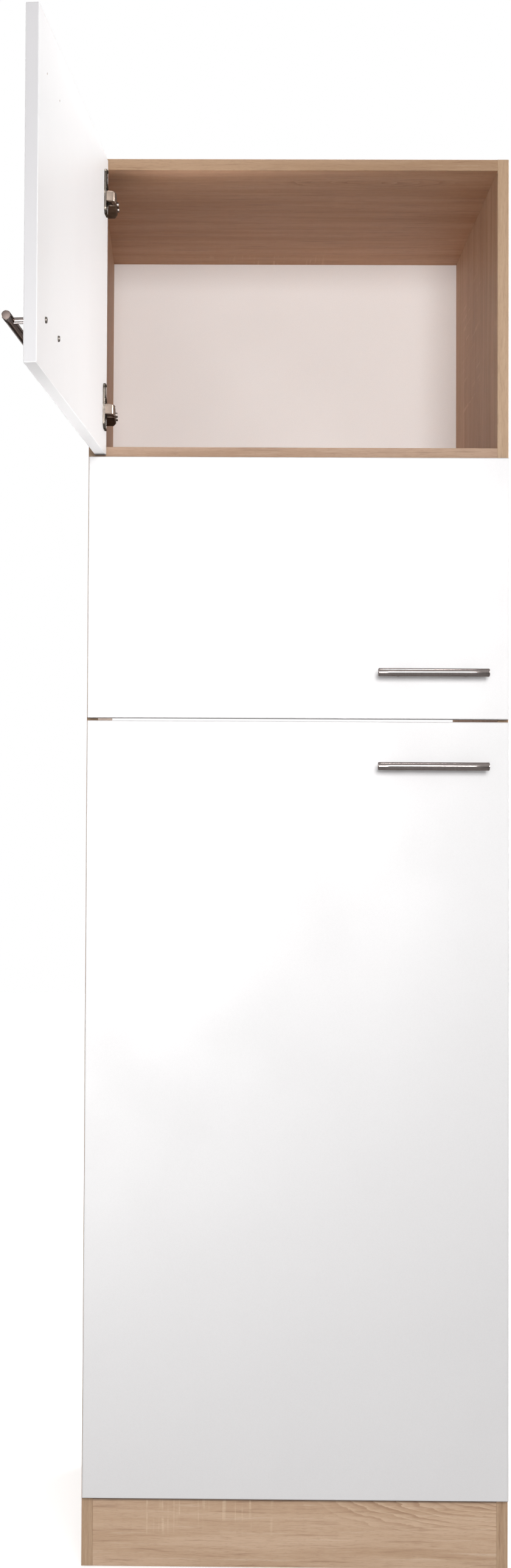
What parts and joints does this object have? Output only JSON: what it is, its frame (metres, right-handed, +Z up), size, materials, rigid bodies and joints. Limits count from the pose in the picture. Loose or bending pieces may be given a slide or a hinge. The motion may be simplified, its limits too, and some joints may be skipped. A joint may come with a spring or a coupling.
{
  "type": "tall fridge housing unit",
  "caption": "Tall kitchen housing unit for a built-in fridge, with hinged white fronts, an upper compartment, a plinth and bar handles.",
  "frame": {"origin": "centre of the plinth board's underside, on the floor, midway between the side panels", "axes": "+X towards the right side panel, +Y from the door fronts to the wall, +Z up"},
  "size_m": [0.6775, 1.15, 2],
  "materials": {
    "oak_board": "satin oak-decor board",
    "white_front": "satin white board",
    "white_back": "matt white thin board",
    "handle_steel": "brushed",
    "hinge_steel": "nickel plated",
    "fitting_steel": "zinc plated",
    "cam_metal": "die-cast, grey",
    "dowel_wood": "raw beech"
  },
  "bodies": {
    "carcass": {"left_side_panel": "oak_board", "right_side_panel": "oak_board", "top_panel": "oak_board", "compartment_floor": "oak_board", "fridge_floor": "oak_board", "plinth_board": "oak_board", "lower_rear_rail": "oak_board", "upper_rear_rail": "oak_board", "compartment_back": "white_back", "cam_discs": "cam_metal", "cam_bolts": "fitting_steel", "wood_dowels": "dowel_wood", "hinge_arms": "hinge_steel", "hinge_arm_pins": "hinge_steel", "hinge_plates": "hinge_steel", "hinge_plate_screws": "hinge_steel", "hinge_arm_screws": "hinge_steel"},
    "top_links": {"top_hinge_links": "hinge_steel"},
    "top_door": {"top_door_panel": "white_front", "top_handle_bar": "handle_steel", "top_handle_posts": "handle_steel", "top_handle_screws": "fitting_steel", "top_hinge_cups": "hinge_steel", "top_hinge_cup_pins": "hinge_steel", "top_hinge_cup_screws": "fitting_steel"},
    "middle_links": {"middle_hinge_links": "hinge_steel"},
    "middle_door": {"middle_door_panel": "white_front", "middle_handle_bar": "handle_steel", "middle_handle_posts": "handle_steel", "middle_handle_screws": "fitting_steel", "middle_hinge_cups": "hinge_steel", "middle_hinge_cup_pins": "hinge_steel", "middle_hinge_cup_screws": "fitting_steel"},
    "bottom_links": {"bottom_hinge_links": "hinge_steel"},
    "bottom_door": {"bottom_door_panel": "white_front", "bottom_handle_bar": "handle_steel", "bottom_handle_posts": "handle_steel", "bottom_handle_screws": "fitting_steel", "bottom_hinge_cups": "hinge_steel", "bottom_hinge_cup_pins": "hinge_steel", "bottom_hinge_cup_screws": "fitting_steel"}
  },
  "joints": [
    {"name": "top_link_swing", "type": "hinge", "parent": "carcass", "child": "top_links", "pos_m": [-0.265, -0.008, 0], "axis": [0, 0, 1], "range_deg": [-38.9, 0]},
    {"name": "top_door_swing", "type": "hinge", "parent": "top_links", "child": "top_door", "pos_m": [-0.27873, -0.02548, 0], "axis": [0, 0, 1], "range_deg": [0, 134.5]},
    {"name": "middle_link_swing", "type": "hinge", "parent": "carcass", "child": "middle_links", "pos_m": [-0.265, -0.008, 0], "axis": [0, 0, 1], "range_deg": [0, 38.9]},
    {"name": "middle_door_swing", "type": "hinge", "parent": "middle_links", "child": "middle_door", "pos_m": [-0.28666, -0.01298, 0], "axis": [0, 0, -1], "range_deg": [0, 134.5]},
    {"name": "bottom_link_swing", "type": "hinge", "parent": "carcass", "child": "bottom_links", "pos_m": [-0.265, -0.008, 0], "axis": [0, 0, 1], "range_deg": [0, 38.9]},
    {"name": "bottom_door_swing", "type": "hinge", "parent": "bottom_links", "child": "bottom_door", "pos_m": [-0.28666, -0.01298, 0], "axis": [0, 0, -1], "range_deg": [0, 134.5]}
  ],
  "couplings": [
    {"joint": "top_link_swing", "follows": "top_door_swing", "ratio": -0.28922},
    {"joint": "middle_link_swing", "follows": "middle_door_swing", "ratio": 0.28922},
    {"joint": "bottom_link_swing", "follows": "bottom_door_swing", "ratio": 0.28922}
  ]
}
